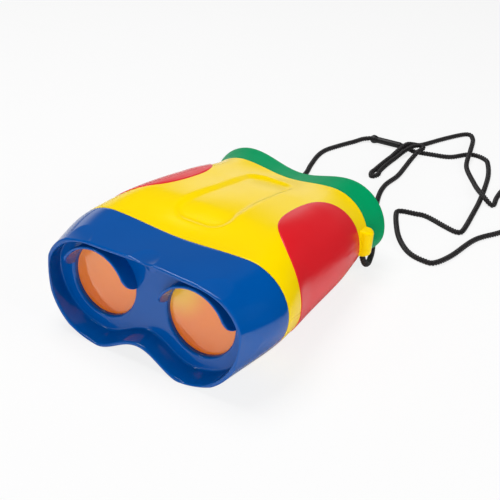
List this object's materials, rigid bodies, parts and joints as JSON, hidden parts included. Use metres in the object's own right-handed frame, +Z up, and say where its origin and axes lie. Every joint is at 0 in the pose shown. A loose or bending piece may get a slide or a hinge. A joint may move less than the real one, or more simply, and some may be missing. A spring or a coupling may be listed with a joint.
{
  "type": "toy binoculars",
  "caption": "Toy binoculars with a blue hooded front, amber lenses, yellow two-part body, red side panels, green eyecup and a black neck cord.",
  "frame": {"origin": "middle of the outline of the binoculars without the cord, on the surface they rest on", "axes": "+Z up, -Y out of the front hood, +Y to the eyes and the cord, +X to the right seen from the front"},
  "size_m": [0.1766, 0.3454, 0.0593],
  "materials": {
    "hood": "gloss",
    "amber_lens": "gloss",
    "clear_lens": "gloss",
    "ring": "satin",
    "body": "gloss",
    "panel": "satin",
    "cup": "satin",
    "screw": "satin",
    "cord": "matte"
  },
  "bodies": {
    "root": {"front_hood": "hood", "left_objective_lens": "amber_lens", "right_objective_lens": "amber_lens", "left_lens_retainer": "ring", "right_lens_retainer": "ring", "top_shell": "body", "bottom_shell": "body", "left_side_panel": "panel", "right_side_panel": "panel", "eyepiece_plate": "ring", "left_eyepiece_lens": "clear_lens", "right_eyepiece_lens": "clear_lens", "left_eyepiece_retainer": "ring", "right_eyepiece_retainer": "ring", "eyecup": "cup", "case_screws": "screw", "left_cord_knot": "cord", "right_cord_knot": "cord", "neck_cord_left": "cord", "neck_cord_right": "cord", "breakaway_socket": "ring", "breakaway_plug": "ring"}
  },
  "joints": []
}
